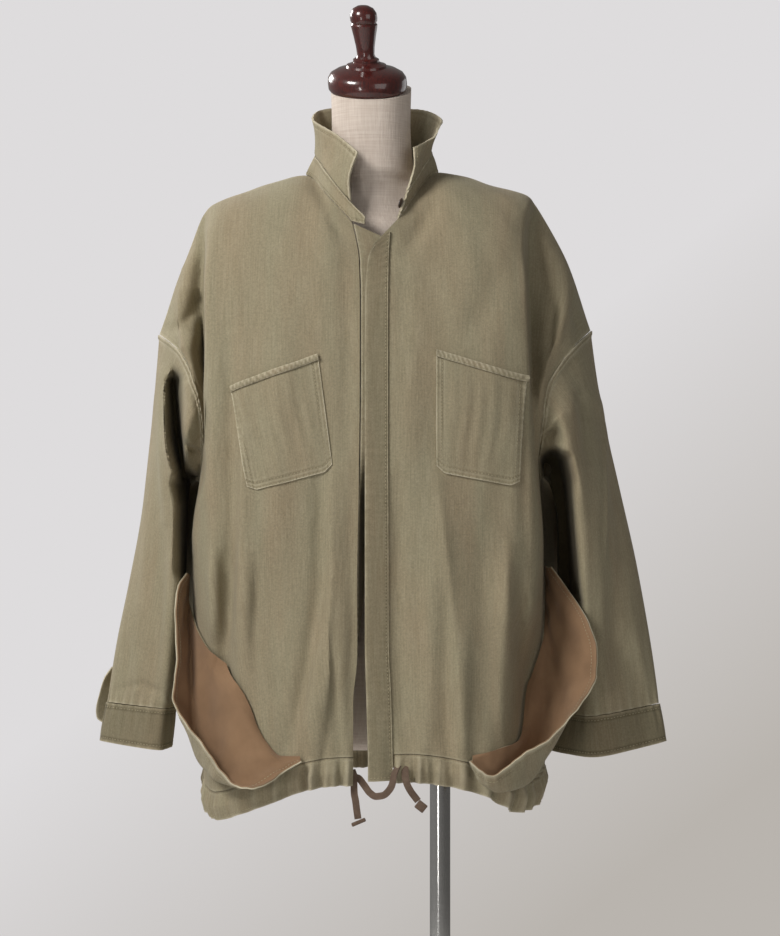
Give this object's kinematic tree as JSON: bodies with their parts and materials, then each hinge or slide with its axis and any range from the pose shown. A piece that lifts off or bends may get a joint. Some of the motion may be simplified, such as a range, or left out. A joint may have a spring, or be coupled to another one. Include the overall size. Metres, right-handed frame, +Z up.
{
  "type": "unlined cotton twill shirt jacket on a limbless dress form with a round stand",
  "caption": "Boxy washed-khaki shirt jacket with a hidden front, drooping side pouches and a drawstring hem, shown on a linen-covered limbless dress form",
  "frame": {"origin": "centre of the base plate's underside, which is under the pole", "axes": "+Z up the pole, -Y the jacket's front, +X the wearer's left; the dress form's axis stands 87.5 mm to the wearer's right of the pole"},
  "size_m": [0.7235, 0.375, 1.5517],
  "materials": {
    "khaki_twill": "washed cotton twill, matt",
    "brown_lining": "plain-woven brown cotton, matt",
    "woven_tape": "woven cotton tape",
    "linen_cover": "natural linen stretched on the form",
    "mahogany": "turned and lacquered, high gloss",
    "horn_button": "dark horn-look",
    "chrome_steel": "chromed"
  },
  "bodies": {
    "root": {"front_right": "khaki_twill", "front_left": "khaki_twill", "back": "khaki_twill", "placket": "khaki_twill", "button_band": "khaki_twill", "collar_stand": "khaki_twill", "collar": "khaki_twill", "sleeve_right": "khaki_twill", "sleeve_left": "khaki_twill", "cuff_right": "khaki_twill", "cuff_left": "khaki_twill", "cuff_lap_right": "khaki_twill", "chest_pocket_right": "khaki_twill", "chest_pocket_left": "khaki_twill", "pocket_hem_right": "khaki_twill", "pocket_hem_left": "khaki_twill", "side_pouch_right": "khaki_twill", "side_pouch_left": "khaki_twill", "hem_casing": "khaki_twill", "pouch_lining_right": "brown_lining", "pouch_lining_left": "brown_lining", "drawstring_left": "woven_tape", "drawstring_middle": "woven_tape", "drawstring_right": "woven_tape", "drawstring_end_left": "woven_tape", "drawstring_end_right": "woven_tape", "neck_button": "horn_button", "form_torso": "linen_cover", "neck_cap": "mahogany", "pole": "chrome_steel", "pole_socket": "chrome_steel", "base_plate": "chrome_steel"}
  },
  "joints": []
}
